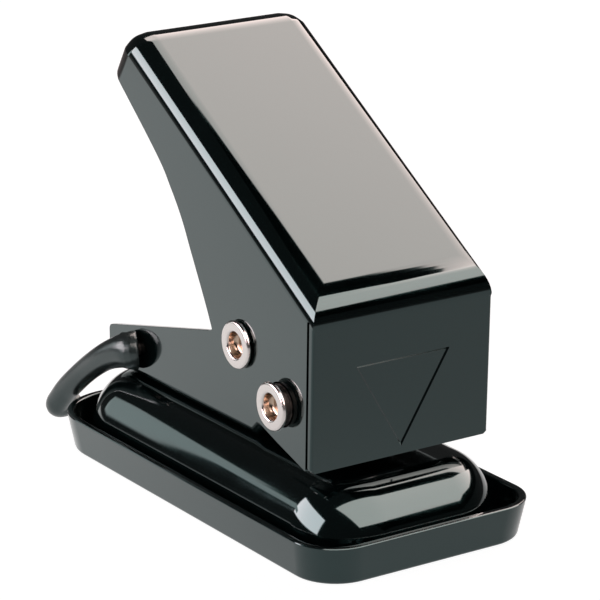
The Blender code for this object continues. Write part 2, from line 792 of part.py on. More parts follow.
def smooth_route(points, steps):
    """Catmull-Rom curve through the given points."""
    result = []
    ends = [points[0] * 2 - points[1], *points, points[-1] * 2 - points[-2]]
    for a, b, c, d in zip(ends, ends[1:], ends[2:], ends[3:]):
        for step in range(steps):
            t = step / steps
            cubic = (-a + 3 * b - 3 * c + d) * t**3
            square = (2 * a - 5 * b + 4 * c - d) * t**2
            result.append((cubic + square + (c - a) * t + 2 * b) / 2)
    result.append(points[-1])
    return result


def tray_catch():
    """Hub on the stud and a round arm that curves down behind the tray's corner and hooks in."""
    hub_y = CATCH_Y
    near = WALL_OUT + GAP
    far = near + CATCH_HUB_LENGTH
    place = (0, hub_y, CATCH_Z)
    hub = turned(
        "tray_catch",
        [
            (CATCH_HUB_RADIUS, -near),
            (CATCH_HUB_RADIUS, -far + CATCH_HUB_EDGE),
            (CATCH_HUB_RADIUS - CATCH_HUB_EDGE, -far),
        ],
        place,
        "X",
    )
    start_x = -(near + CATCH_ARM_RADIUS)
    points = []
    for out, back, down in CATCH_ROUTE_SHARES:
        points.append(
            Vector((
                start_x - CATCH_SPREAD * out,
                hub_y + CATCH_REACH * back,
                CATCH_Z + CATCH_DROP * down,
            ))
        )
    low = CATCH_Z - CATCH_DROP
    points.append(Vector((start_x - CATCH_SPREAD * CATCH_TURN_SHARE, hub_y + CATCH_REACH, low)))
    points.append(Vector((start_x - CATCH_SPREAD + CATCH_HOOK, hub_y + CATCH_REACH, low)))
    arm = wire("arm", smooth_route(points, CATCH_STEPS_PER_SPAN), CATCH_ARM_RADIUS, 4)
    fuse(hub, arm)
    bore = STUD_RADIUS + GAP
    cut(hub, hole(bore, -far - OVERRUN, -near + OVERRUN, place, "X", SMALL_ROUND_SIDES))
    return hub


def catch_stud():
    """Headed stud through the bracket's left wall and the catch's hub."""
    place = (0, CATCH_Y, CATCH_Z)
    inner = WALL_IN - GAP
    outer = WALL_OUT + GAP + CATCH_HUB_LENGTH + 2 * GAP + STUD_WASHER
    edge = STUD_HEAD / 3
    profile = [
        (STUD_HEAD_RADIUS - edge, -inner + STUD_HEAD),
        (STUD_HEAD_RADIUS, -inner),
        (STUD_RADIUS, -inner),
        (STUD_RADIUS, -outer),
        (STUD_HEAD_RADIUS, -outer),
        (STUD_HEAD_RADIUS, -outer - edge),
        (STUD_HEAD_RADIUS - 2 * edge, -outer - STUD_HEAD),
    ]
    return turned("catch_stud", profile, place, "X", sides=SMALL_ROUND_SIDES)


def catch_washer():
    place = (0, CATCH_Y, CATCH_Z)
    near = WALL_OUT + GAP + CATCH_HUB_LENGTH + GAP
    return tube(
        "catch_washer",
        STUD_WASHER_RADIUS,
        STUD_RADIUS + GAP,
        -near - STUD_WASHER,
        -near,
        place,
        "X",
        SMALL_ROUND_SIDES,
    )


def build():
    clear_scene()
    gloss = finish_material("gloss_black_paint", (0.012, 0.015, 0.015), 0.08, 0.0)
    plastic = finish_material("matte_black_plastic", (0.03, 0.035, 0.035), 0.5, 0.0)
    satin = finish_material("satin_black_plastic", (0.02, 0.022, 0.022), 0.35, 0.0)
    nickel = finish_material("nickel_plate", (0.78, 0.74, 0.70), 0.18, 1.0)
    steel = finish_material("bright_steel", (0.55, 0.55, 0.56), 0.3, 1.0)
    spring_steel = finish_material("spring_steel", (0.35, 0.35, 0.37), 0.35, 1.0)

    dress(chip_tray(), plastic)
    dress(base_plate(), gloss)
    dress(frame_bracket(), gloss)
    for name, x, y in fixing_places():
        dress(fixing(name, x, y), nickel)
    dress(guide_bush(), steel)
    dress(die_bush(), steel)

    pivot = (0, PIVOT_Y, PIVOT_Z)
    drive = (0, DRIVE_Y, DRIVE_Z)
    dress(tubular_rivet("pivot_rivet", SLEEVE_END + GAP, pivot), nickel)
    spacer_inner = SLEEVE_RADIUS + GAP
    wall = WALL_OUT + GAP
    lever_face = LEVER_IN - GAP
    for side, name in ((-1, "left"), (1, "right")):
        bore = RIVET_RADIUS + GAP
        dress(side_tube(f"pivot_sleeve_{name}", SLEEVE_RADIUS, bore, wall, SLEEVE_END, side, pivot), steel)
        outer = spacer_inner + SPACER_WALL
        dress(side_tube(f"pivot_spacer_{name}", outer, spacer_inner, wall, lever_face, side, pivot), steel)
        outer = bore + SPACER_WALL
        spacer = side_tube(f"drive_spacer_{name}", outer, bore, wall, lever_face, side, drive)
        move_origin(dress(spacer, steel), pivot)

    move_origin(dress(lever_shell(), gloss), pivot)
    move_origin(dress(tubular_rivet("drive_rivet", LEVER_OUT + GAP, drive), nickel), pivot)
    reach = WALL_IN - GAP
    roller = tube("drive_roller", ROLLER_RADIUS, RIVET_RADIUS + GAP, -reach, reach, drive, "X")
    move_origin(dress(roller, steel), pivot)

    for piece, material in (
        (punch_pin(), steel),
        (punch_clip(), spring_steel),
        (spring_cap(), steel),
        (return_spring(), spring_steel),
    ):
        move_origin(dress(piece, material), (0, PUNCH_Y, PUNCH_POINT))

    move_origin(dress(tray_catch(), satin), (0, CATCH_Y, CATCH_Z))
    dress(catch_stud(), nickel)
    dress(catch_washer(), nickel)

    print("pivot (mm):", round(PIVOT_Y * 1000, 3), round(PIVOT_Z * 1000, 3))
    print("drive rivet (mm):", round(DRIVE_Y * 1000, 3), round(DRIVE_Z * 1000, 3))
    print("punch travel (mm):", round(PUNCH_TRAVEL * 1000, 3))
    print("punch travel per radian (mm):", round(PUNCH_TRAVEL / PRESS_ANGLE * 1000, 3))


build()
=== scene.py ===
import math

import bmesh
import bpy
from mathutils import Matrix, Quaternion, Vector


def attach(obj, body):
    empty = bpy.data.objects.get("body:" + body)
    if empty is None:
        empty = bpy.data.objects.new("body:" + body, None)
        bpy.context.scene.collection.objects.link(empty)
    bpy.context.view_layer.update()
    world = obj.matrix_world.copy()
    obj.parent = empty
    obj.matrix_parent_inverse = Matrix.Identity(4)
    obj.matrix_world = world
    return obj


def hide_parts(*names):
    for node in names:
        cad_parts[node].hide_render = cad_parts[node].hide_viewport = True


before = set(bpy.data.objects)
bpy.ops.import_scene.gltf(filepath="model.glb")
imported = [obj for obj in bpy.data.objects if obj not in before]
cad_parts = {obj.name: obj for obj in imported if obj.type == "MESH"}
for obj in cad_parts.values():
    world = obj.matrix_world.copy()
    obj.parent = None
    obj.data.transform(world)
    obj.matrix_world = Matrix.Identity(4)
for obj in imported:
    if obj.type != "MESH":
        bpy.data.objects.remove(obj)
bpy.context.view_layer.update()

mm = 0.001

# Camera: a long lens from the punch's front left, a little above it, as in the photograph.
# Its place was worked out from the straight edges of the tray, the base and the lever.
camera_aim = Vector((-2.9, -9.75, 40.2)) * mm
camera_side = Vector((-0.534, -0.790, 0.302)).normalized()
camera_far = 577.6 * mm
bpy.ops.object.select_all(action="DESELECT")
bpy.ops.object.camera_add(
    location=camera_aim + camera_side * camera_far,
    rotation=(-camera_side).to_track_quat("-Z", "Y").to_euler(),
)
camera = bpy.context.object
camera.data.sensor_fit = "HORIZONTAL"
camera.data.sensor_width = 36.0
camera.data.lens = 187.5
bpy.context.scene.camera = camera
bpy.context.scene.view_settings.view_transform = "Standard"


# Studio: a white table in a dark room. A wide warm cloth hangs overhead to the right and a white
# box stands low on the left. A screen behind and a cloth in front show only in glossy surfaces.
class Signal:
    """A shader output; sums, differences and products of it add Math nodes."""

    def __init__(self, finish, socket):
        self.finish = finish
        self.socket = socket

    def joined(self, operation, first, second):
        return self.finish.add("ShaderNodeMath", {"operation": operation}, {0: first, 1: second})

    def __add__(self, other):
        return self.joined("ADD", self, other)

    def __sub__(self, other):
        return self.joined("SUBTRACT", self, other)

    def __mul__(self, other):
        return self.joined("MULTIPLY", self, other)

    def __rsub__(self, other):
        return self.joined("SUBTRACT", other, self)

    __radd__ = __add__
    __rmul__ = __mul__


def socket_of(sockets, key):
    """A node's input or output, by its number, its identifier or its name."""
    if isinstance(key, int):
        return sockets[key]
    return next(s for s in sockets if key in (s.identifier, s.name))


class Finish:
    """The node tree of a material or of the world, filled one node at a time."""

    def __init__(self, name, holder=None):
        self.holder = holder or bpy.data.materials.new(name)
        self.holder.use_nodes = True
        self.tree = self.holder.node_tree
        self.tree.nodes.clear()

    def add(self, kind, settings=None, values=None, output=0):
        node = self.tree.nodes.new(kind)
        for key, value in (settings or {}).items():
            setattr(node, key, value)
        for key, value in (values or {}).items():
            socket = socket_of(node.inputs, key)
            if isinstance(value, Signal):
                self.tree.links.new(value.socket, socket)
            else:
                socket.default_value = value
        return Signal(self, socket_of(node.outputs, output)) if node.outputs else None

    def ray(self, kind):
        return self.add("ShaderNodeLightPath", output=f"Is {kind} Ray")

    def place(self):
        return self.add("ShaderNodeTexCoord", output="Object")

    def part(self, axis):
        """One coordinate of the place: X, Y or Z."""
        return self.add("ShaderNodeSeparateXYZ", {}, {"Vector": self.place()}, axis)

    def sized(self, operation, where, *more):
        """A length or a dot product, the two vector sums that give one number."""
        values = dict(enumerate((where, *more)))
        return self.add("ShaderNodeVectorMath", {"operation": operation}, values, "Value")

    def math(self, operation, *numbers):
        return self.add("ShaderNodeMath", {"operation": operation}, dict(enumerate(numbers)))

    def noise(self, where, scale, detail=2.0, rough=0.5):
        values = {"Vector": where, "Scale": scale, "Detail": detail, "Roughness": rough}
        return self.add("ShaderNodeTexNoise", {}, values, "Fac")

    def between(self, signal, low, high, start=0.0, end=1.0):
        values = {"Value": signal, 1: low, 2: high, 3: start, 4: end}
        return self.add("ShaderNodeMapRange", {"interpolation_type": "SMOOTHSTEP"}, values)

    def mixed(self, mask, first, second):
        values = {"Factor_Float": mask, "A_Color": first, "B_Color": second}
        return self.add("ShaderNodeMix", {"data_type": "RGBA"}, values, "Result_Color")

    def bump(self, height, depth):
        values = {"Height": height, "Strength": 1.0, "Distance": depth}
        return self.add("ShaderNodeBump", {}, values, "Normal")

    def close(self, surface, kind="ShaderNodeOutputMaterial"):
        self.add(kind, {}, {"Surface": surface})
        return self.holder

    def close_surface(self, values):
        """Ends a material with one Principled shader."""
        return self.close(self.add("ShaderNodeBsdfPrincipled", {}, values))


table_seen = 1.38
table_glow_share = 0.70
bpy.ops.object.select_all(action="DESELECT")
bpy.ops.mesh.primitive_plane_add(size=6.0, location=(0, 0, 0))
table = bpy.context.object
table.name = "studio_table"
white = Finish("white_table")
seen = white.ray("Camera")
mirrored = white.ray("Glossy") + white.ray("Transmission")
across = white.sized("DOT_PRODUCT", white.place(), (-0.56, 0.83, 0.0))
away = white.sized("LENGTH", white.place())
side_tone = white.between(across, -0.12, 0.12, 0.62, 1.16) * white.between(away, 0.36, 0.50, 1.0, 0.06)
glow = white.add("ShaderNodeEmission", {}, {"Strength": seen * table_seen + mirrored * side_tone})
matt = white.add("ShaderNodeBsdfDiffuse", {}, {"Color": (0.88, 0.87, 0.86, 1)})
share = white.between(seen + mirrored, 0.0, 1.0, 0.0, table_glow_share)
lit = white.add("ShaderNodeMixShader", {}, {0: share, 1: matt, 2: glow})
under = white.add("ShaderNodeNewGeometry", output="Backfacing")
clear = white.add("ShaderNodeBsdfTransparent")
table.data.materials.append(
    white.close(white.add("ShaderNodeMixShader", {}, {0: under, 1: lit, 2: clear}))
)

room_level = 0.035
room = bpy.data.worlds.new("dark_room")
bpy.context.scene.world = room
air = Finish("dark_room", room)
seen = air.ray("Camera")
background = {"Color": (1.0, 1.0, 1.0, 1), "Strength": seen + (1 - seen) * room_level}
air.close(air.add("ShaderNodeBackground", {}, background), "ShaderNodeOutputWorld")


def hang_card(name, toward, far, width, tall, tint, plain, shine, fade, soft,
              shift=0.0, cut=None, gap=None, roll=0.0):
    """A glowing sheet that faces the punch; its light fades along its width and at its edges."""
    aim = Vector(toward).normalized()
    turn = aim.to_track_quat("Z", "Y") @ Quaternion((0, 0, 1), math.radians(roll))
    bpy.ops.object.select_all(action="DESELECT")
    bpy.ops.mesh.primitive_plane_add(size=1.0)
    card = bpy.context.object
    card.name = name
    card.location = aim * far
    card.location += turn @ Vector((shift, 0, 0))
    card.rotation_euler = turn.to_euler()
    card.scale = (width, tall, 1.0)
    card.visible_camera = False
    glowing = Finish(name)
    x, y = glowing.part("X"), glowing.part("Y")
    edge = 1.0
    for part in (x, y):
        edge = glowing.between(glowing.math("ABSOLUTE", part), 0.5 - soft, 0.5, 1.0, 0.0) * edge
    if cut:
        start, slant = cut
        edge = glowing.between(y - x * slant, start, start + 0.012) * edge
    if gap:
        first, last = gap
        hidden = glowing.between(x, first, first + 0.01) * glowing.between(x, last - 0.01, last, 1.0, 0.0)
        edge = (1 - hidden) * edge
    fall = glowing.between(x, -0.5, 0.5, *fade)
    power = (plain + glowing.ray("Glossy") * (shine - plain)) * fall * edge
    light = glowing.add("ShaderNodeEmission", {}, {"Color": (*tint, 1), "Strength": power})
    card.data.materials.append(glowing.close(light))


hang_card("overhead_cloth", toward=(0.72, -0.10, 0.92), far=1.0, width=2.9, tall=1.55,
          tint=(1.0, 0.775, 0.735), plain=1.75, shine=4.8, fade=(0.62, 1.0), soft=0.015,
          shift=-0.5, cut=(-0.325, 0.257), gap=(-0.52, 0.195))
hang_card("left_box", toward=(-0.851, 0.290, 0.385), far=0.9, width=1.03, tall=0.45,
          tint=(1.0, 0.82, 0.85), plain=1.6, shine=7.8, fade=(1.0, 1.0), soft=0.05, roll=-8)


def hang_sheet(name, centre, size, turn, tint, power, shape):
    """A sheet that only mirrors see, glowing where a shape drawn in the room's own sizes says."""
    bpy.ops.object.select_all(action="DESELECT")
    bpy.ops.mesh.primitive_plane_add(size=1.0, location=centre, rotation=(turn, 0, 0))
    sheet = bpy.context.object
    sheet.name = name
    sheet.scale = (*size, 1.0)
    sheet.visible_camera = sheet.visible_diffuse = sheet.visible_shadow = False
    glowing = Finish(name)
    first = glowing.part("X") * size[0] + centre[0]
    second = glowing.part("Y") * size[1] + centre[2 if turn else 1]
    light = glowing.add("ShaderNodeEmission", {}, {"Color": (*tint, 1), "Strength": power})
    clear = glowing.add("ShaderNodeBsdfTransparent")
    mask = shape(glowing, first, second)
    sheet.data.materials.append(
        glowing.close(glowing.add("ShaderNodeMixShader", {}, {0: mask, 1: clear, 2: light}))
    )


def back_shape(look, x, z):
    """A long upper band joined to a wide part on the left."""
    band = look.between(z, 0.116, 0.122) * look.between(z, 0.152, 0.160, 1.0, 0.0)
    wide = look.between(z, 0.030, 0.055) * look.between(z, 0.166, 0.172, 1.0, 0.0)
    wide = wide * look.between(x, -0.236, -0.226)
    both = band + wide - band * wide
    return both * look.between(x, -0.150, -0.138, 1.0, 0.0)


def front_shape(look, x, y):
    """A wide field whose rear edge rises and whose right edge slants."""
    rise = look.math("MAXIMUM", x - 0.33, 0.0) * 0.55
    reach = look.math("MAXIMUM", y + 0.68, 0.0)
    field = look.between(y - rise, -0.182, -0.172, 1.0, 0.0) * look.between(x, -0.335, -0.315)
    return look.between(x - reach, 0.70, 0.75, 1.0, 0.0) * look.between(y, -1.14, -1.10) * field


hang_sheet("back_screen", centre=(-0.24, 0.30, 0.11), size=(0.24, 0.16), turn=math.pi / 2,
           tint=(0.95, 1.0, 1.0), power=1.35, shape=back_shape)
hang_sheet("front_cloth", centre=(0.55, -0.45, 0.45), size=(1.80, 1.4), turn=0.0,
           tint=(1.0, 0.80, 0.76), power=4.9, shape=front_shape)


# Chip tray: a shallow box moulded in black plastic, its walls drafted outwards to the rim.
# It clips under the base and takes the paper chips; the outside is smooth and glossy.
def begin(name, kind, **where):
    """A fresh primitive under the piece's own name, with all else deselected."""
    bpy.ops.object.select_all(action="DESELECT")
    getattr(bpy.ops.mesh, f"primitive_{kind}_add")(**where)
    piece = bpy.context.object
    piece.name = piece.data.name = name
    bpy.ops.object.transform_apply(location=True, rotation=True, scale=True)
    return piece


def choose(piece):
    bpy.ops.object.select_all(action="DESELECT")
    piece.select_set(True)
    bpy.context.view_layer.objects.active = piece


def edit(piece):
    choose(piece)
    bpy.ops.object.mode_set(mode="EDIT")


def leave():
    bpy.ops.object.mode_set(mode="OBJECT")


def middle(part):
    """The middle of a vertex, an edge or a face."""
    if isinstance(part, bmesh.types.BMVert):
        return part.co
    if isinstance(part, bmesh.types.BMEdge):
        return (part.verts[0].co + part.verts[1].co) / 2
    return part.calc_center_median()


def along(edge):
    return (edge.verts[1].co - edge.verts[0].co).normalized()


def upright(edge):
    return abs(along(edge).z) > 0.9


def level(edge):
    return abs(along(edge).z) < 0.1


def flat_sides(edge, way):
    """How many of an edge's faces look straight up (way 1) or down (way -1)."""
    return len([f for f in edge.link_faces if way * f.normal.z > 0.9])


def pick(kind, wanted):
    """Selects, in edit mode, just the vertices, edges or faces that pass a test."""
    bpy.ops.mesh.select_mode(type=kind)
    bpy.ops.mesh.select_all(action="DESELECT")
    shape = bmesh.from_edit_mesh(bpy.context.object.data)
    for part in {"VERT": shape.verts, "EDGE": shape.edges, "FACE": shape.faces}[kind]:
        if wanted(part):
            part.select_set(True)
    shape.select_flush_mode()
    bmesh.update_edit_mesh(bpy.context.object.data)


def round_corners(front, rear, front_steps, rear_steps):
    """Rounds a block's four upright corners, the front pair and then the rear pair."""
    for side, radius, steps in ((-1, front, front_steps), (1, rear, rear_steps)):
        pick("EDGE", lambda e: upright(e) and side * middle(e).y > 0)
        bpy.ops.mesh.bevel(offset=radius, segments=steps, affect="EDGES")


def work(piece, kind, **settings):
    """One modifier, set and applied at once."""
    step = piece.modifiers.new(kind.lower(), kind)
    for key, value in settings.items():
        setattr(step, key, value)
    choose(piece)
    bpy.ops.object.modifier_apply(modifier=step.name)


def dress(piece, finish, slot, body, *stands_for):
    """Smooth faces with crisp corners, a finish, a body to ride on and the nodes it stands for."""
    choose(piece)
    bpy.ops.object.shade_smooth_by_angle(angle=math.radians(32))
    work(piece, "WEIGHTED_NORMAL", keep_sharp=True, weight=70)
    piece.data.materials.clear()
    piece.data.materials.append(finish)
    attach(piece, body)
    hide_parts(*stands_for)


def moulded_gloss():
    """Black moulded plastic: a deep gloss with a faint grain from the mould and dust."""
    skin = Finish("black_moulded_gloss")
    where = skin.place()
    grain = skin.noise(where, 2600, 3)
    waves = skin.noise(where, 210, 1)
    cloud = skin.noise(where, 90, 4)
    dust = skin.between(skin.noise(where, 5200, 1, 0.3), 0.80, 0.84)
    colour = skin.mixed(cloud, (0.003, 0.0075, 0.0078, 1), (0.006, 0.0115, 0.012, 1))
    colour = skin.mixed(dust * 0.5, colour, (0.16, 0.18, 0.18, 1))
    return skin.close_surface({
        "Base Color": colour, "Roughness": skin.between(cloud, 0.2, 0.8, 0.10, 0.20),
        "IOR": 1.5, "Specular Tint": (0.40, 1.0, 1.0, 1),
        "Coat Weight": 0.85, "Coat Roughness": 0.06, "Coat IOR": 1.5,
        "Normal": skin.bump(grain * 0.35 + waves * 2.0, 0.000004),
    })


tray_foot = (47.5 * mm, 95.5 * mm)
tray_rim = (50.0 * mm, 98.0 * mm)
tray_tall = 7.4 * mm
tray_floor = 1.4 * mm
tray_wall = 1.5 * mm
hair = 0.05 * mm
tray = begin("tray_shell", "cube", size=1.0, location=(0, 0, tray_tall / 2), scale=(*tray_foot, tray_tall))
edit(tray)
round_corners(8.6 * mm, 12.6 * mm, 14, 18)
pick("FACE", lambda f: f.normal.z > 0.9)
draft = (tray_rim[0] / tray_foot[0], tray_rim[1] / tray_foot[1], 1.0)
bpy.ops.transform.resize(value=draft, center_override=(0, 0, tray_tall))
bpy.ops.mesh.inset(thickness=tray_wall, depth=0.0)
bpy.ops.mesh.extrude_region_move(TRANSFORM_OT_translate={"value": (0, 0, tray_floor - tray_tall)})
pick("EDGE", lambda e: level(e) and middle(e).z > tray_tall - hair and flat_sides(e, 1) == 1)
bpy.ops.mesh.bevel(offset=0.35 * mm, segments=3, affect="EDGES")
pick("EDGE", lambda e: middle(e).z < hair and flat_sides(e, -1) == 1)
bpy.ops.mesh.bevel(offset=0.6 * mm, segments=3, affect="EDGES")
leave()
dress(tray, moulded_gloss(), "tray_plastic", "tray", "chip_tray")


# Base: a long dome pressed from steel sheet, with a flat top and rounded shoulders.
# It is dipped in glossy black enamel and stands inside the tray's walls.
def enamel():
    """Glossy black enamel: nearly black, a clear hard skin with a faint orange peel and dust."""
    skin = Finish("black_enamel")
    where = skin.place()
    peel = skin.noise(where, 330, 2, 0.4)
    fine = skin.noise(where, 1900, 2, 0.5)
    cloud = skin.noise(where, 70, 4, 0.6)
    specks = skin.between(skin.noise(where, 4300, 1, 0.3), 0.82, 0.86)
    colour = skin.mixed(cloud, (0.0015, 0.0058, 0.0060, 1), (0.0035, 0.0085, 0.0088, 1))
    colour = skin.mixed(specks * 0.6, colour, (0.20, 0.22, 0.22, 1))
    return skin.close_surface({
        "Base Color": colour, "Roughness": skin.between(cloud, 0.25, 0.75, 0.06, 0.12),
        "IOR": 1.5, "Specular Tint": (0.40, 1.0, 1.0, 1),
        "Coat Weight": 1.0, "Coat Roughness": 0.03, "Coat IOR": 1.5,
        "Normal": skin.bump(peel + fine * 0.12, 0.000006),
    })


def carve(piece, tool, **settings):
    """Cuts a tool's shape out of a piece and puts the tool away."""
    work(piece, "BOOLEAN", operation="DIFFERENCE", solver="EXACT", object=tool, **settings)
    bpy.data.objects.remove(tool, do_unlink=True)


def bored(piece, radius, place, deep, axis="Z", sides=48):
    """Drills a round hole along X or Z through a place."""
    turn = (0, math.pi / 2, 0) if axis == "X" else (0, 0, 0)
    drill = begin("drill", "cylinder", vertices=sides, radius=radius, depth=deep, location=place, rotation=turn)
    carve(piece, drill)


black_enamel = enamel()
sheet = 1.2 * mm
flat_top = (25.2 * mm, 75.2 * mm)
dome_top = 15.0 * mm
dome_foot = (20.9 * mm, 45.7 * mm)
skirt = 2.1 * mm
shoulder = 8.9 * mm
shoulder_drop = 11.8 * mm
squat = shoulder / shoulder_drop
dome_tall = (dome_top - skirt) * squat
dome_half = (flat_top[0] / 2 + shoulder, flat_top[1] / 2 + shoulder)
dome = begin("dome_shell", "cube", size=1.0, location=(0, 0, dome_top - dome_tall / 2),
             scale=(2 * dome_half[0], 2 * dome_half[1], dome_tall))
edit(dome)
round_corners(13.4 * mm, 14.6 * mm, 20, 20)
pick("EDGE", lambda e: level(e) and middle(e).z > dome_top - 0.01 * mm)
bpy.ops.mesh.bevel(offset=shoulder - 0.02 * mm, segments=20, affect="EDGES")
bpy.ops.mesh.select_all(action="SELECT")
bpy.ops.transform.resize(value=(1, 1, 1 / squat), center_override=(0, 0, dome_top))
pick("FACE", lambda f: f.normal.z < -0.9)
flare = (dome_foot[0] / dome_half[0], dome_foot[1] / dome_half[1], 1)
bpy.ops.transform.resize(value=flare, center_override=(0, 0, skirt))
bpy.ops.mesh.delete(type="ONLY_FACE")
leave()
work(dome, "SOLIDIFY", thickness=sheet, offset=-1.0, use_even_offset=True)
punch_y = -15.35 * mm
die_hole = 5.3 * mm
fixing_hole = 1.8 * mm
fixing_spots = [(x * mm, y * mm) for x in (-7.5, 7.5) for y in (-1.75, 32.25)]
drill_height, drill_long = 14 * mm, 8 * mm
bored(dome, die_hole, (0, punch_y, drill_height), drill_long)
for x, y in fixing_spots:
    bored(dome, fixing_hole, (x, y, drill_height), drill_long, sides=24)
dress(dome, black_enamel, "black_gloss", "body", "base_plate")


# Bracket: a channel bent from steel sheet, two tall ears for the pivot and two low arms behind.
# It is enamelled with the base and riveted on its flat top, the front floor lifted for the paper.
def draw(name, points):
    """An outline drawn corner by corner, closed and filled."""
    points = [Vector(p) for p in points]
    piece = begin(name, "plane", size=0.001, location=points[0])
    bpy.ops.object.mode_set(mode="EDIT")
    bpy.ops.mesh.select_mode(type="VERT")
    bpy.ops.mesh.select_all(action="SELECT")
    bpy.ops.mesh.merge(type="CENTER")
    for start, end in zip(points, points[1:] + points[:1]):
        bpy.ops.mesh.extrude_vertices_move(TRANSFORM_OT_translate={"value": end - start})
    bpy.ops.mesh.select_all(action="SELECT")
    bpy.ops.mesh.remove_doubles(threshold=0.000001)
    bpy.ops.mesh.edge_face_add()
    return piece


def pulled(name, points, reach):
    """A drawn outline pulled out into a solid, still in edit mode."""
    piece = draw(name, points)
    bpy.ops.mesh.extrude_region_move(TRANSFORM_OT_translate={"value": reach})
    bpy.ops.mesh.select_all(action="SELECT")
    bpy.ops.mesh.normals_make_consistent(inside=False)
    return piece


def rounded(corners, steps=8):
    """An outline whose corners (y, z, radius) are drawn as arcs where a radius is given."""
    line = []
    for k, (y, z, radius) in enumerate(corners):
        here = Vector((y, z))
        if not radius:
            line.append(here)
            continue
        before = (Vector(corners[k - 1][:2]) - here).normalized()
        after = (Vector(corners[(k + 1) % len(corners)][:2]) - here).normalized()
        half = before.angle(after) / 2
        hub = here + (before + after).normalized() * radius / math.sin(half)
        start = here + before * radius / math.tan(half) - hub
        end = here + after * radius / math.tan(half) - hub
        for step in range(steps + 1):
            line.append(hub + start.slerp(end, step / steps).normalized() * radius)
    return line


def cross(axis):
    """The middle point of an axis that runs along X, given by its Y and Z in millimetres."""
    return (0, axis[0] * mm, axis[1] * mm)


pivot_axis = (-28.15, 28.4)
drive_axis = (-14.85, 36.1)
bracket_half = 13.0 * mm
bracket_bend = 1.8 * mm
bracket_outline = rounded((
    (-33.25, 16.9, 0), (-33.25, 34.6, 2.0), (-28.25, 43.6, 2.0), (3.45, 43.6, 1.2), (3.45, 32.5, 3.5),
    (42.75, 23.3, 1.2), (42.75, 15.3, 0), (-9.35, 15.3, 0), (-11.0, 16.9, 0),
))
bracket = pulled("bracket_channel", [(-bracket_half, p.x * mm, p.y * mm) for p in bracket_outline],
                 (2 * bracket_half, 0, 0))
pick("FACE", lambda f: abs(f.normal.x) < 0.5 and not (f.normal.z < -0.4 and middle(f).z < 17.0 * mm))
bpy.ops.mesh.delete(type="ONLY_FACE")
pick("EDGE", lambda e: abs(abs(middle(e).x) - bracket_half) < 0.01 * mm and middle(e).z < 16.95 * mm
     and len(e.link_faces) == 2)
bpy.ops.mesh.bevel(offset=bracket_bend, segments=8, affect="EDGES", clamp_overlap=True)
leave()
work(bracket, "SOLIDIFY", thickness=sheet, offset=-1.0, use_even_offset=True)
rivet_hole = 3.3 * mm
bored(bracket, rivet_hole, cross(pivot_axis), 40 * mm, "X")
slot_tool = begin("slot_tool", "cylinder", vertices=48, radius=3.6 * mm, depth=40 * mm,
                  location=cross(drive_axis), rotation=(0, math.pi / 2, 0))
edit(slot_tool)
pick("VERT", lambda v: v.co.z < drive_axis[1] * mm)
bpy.ops.transform.translate(value=(0, 1.75 * mm, -4.5 * mm))
leave()
carve(bracket, slot_tool)
guide_hole = 4.6 * mm
front_floor, rear_floor = 17.5 * mm, 15.9 * mm
bored(bracket, guide_hole, (0, punch_y, front_floor), 6 * mm)
for x, y in fixing_spots:
    bored(bracket, fixing_hole, (x, y, rear_floor), 4 * mm, sides=24)
work(bracket, "BEVEL", width=0.22 * mm, segments=2, limit_method="ANGLE", angle_limit=math.radians(50))
dress(bracket, black_enamel, "black_gloss", "body", "frame_bracket")


# Lever: one blank of steel sheet folded into a long hood, then enamelled black. Its front flange
# is bent down over the ends of the sides and left open as a seam, a plain mark pressed into it.
def smooth_line(points, steps):
    """A soft line through drawn points, sampled between each two of them."""
    points = [Vector(p) for p in points]
    rows = [points[0] * 2 - points[1], *points, points[-1] * 2 - points[-2]]
    line = []
    for a, b, c, d in zip(rows, rows[1:], rows[2:], rows[3:]):
        for step in range(steps):
            t = step / steps
            line.append(0.5 * (2 * b + (c - a) * t + (2 * a - 5 * b + 4 * c - d) * t * t
                               + (3 * b - a - 3 * c + d) * t ** 3))
    return [*line, points[-1]]


def near(part, y, z, reach=0.2):
    spot = middle(part)
    return abs(spot.y - y * mm) < reach * mm and abs(spot.z - z * mm) < reach * mm


def crosswise(edge):
    return abs(along(edge).x) > 0.9


def open_side(face):
    """The hood's underside and rear, which the folded blank leaves open below its rear lip."""
    below = face.normal.z < -0.05 or face.normal.y > 0.2
    rear_lip = face.normal.y > 0.4 and middle(face).z > 82 * mm
    front = face.normal.y < -0.95
    return abs(face.normal.x) < 0.5 and below and not rear_lip and not front


def slab(name, low, high):
    """A straight cutter between two corners."""
    low, high = Vector(low) * mm, Vector(high) * mm
    return begin(name, "cube", size=1.0, location=(low + high) / 2, scale=high - low)


def face_y(z):
    """Where the front flange's outer face stands at a height."""
    return foot.x + (front_top.x - foot.x) * (z - foot.y) / (front_top.y - foot.y)


lever_half = 19.6 * mm
foot = Vector((-37.85, 18.0))
front_top = Vector((-38.63, 49.89))
rear_top = Vector((24.45, 88.68))
tip = Vector((29.81, 79.86))
lower_edge = [(-35.86, 18.21), (-24.2, 21.9), (-13.2, 26.1), (-10.6, 27.5), (-9.2, 29.0), (-7.76, 31.6),
              (-4.15, 39.49), (1.52, 49.82), (4.51, 55.2), (8.25, 60.28), (13.24, 65.79), (tip.x, tip.y)]
lower_edge = smooth_line([(0.0, y, z) for y, z in lower_edge], 4)
outline = [foot, front_top, rear_top, *[Vector((p.y, p.z)) for p in reversed(lower_edge)]]
lever = pulled("lever_hood", [(-lever_half, p.x * mm, p.y * mm) for p in outline], (2 * lever_half, 0, 0))
pick("FACE", open_side)
bpy.ops.mesh.delete(type="ONLY_FACE")
leave()

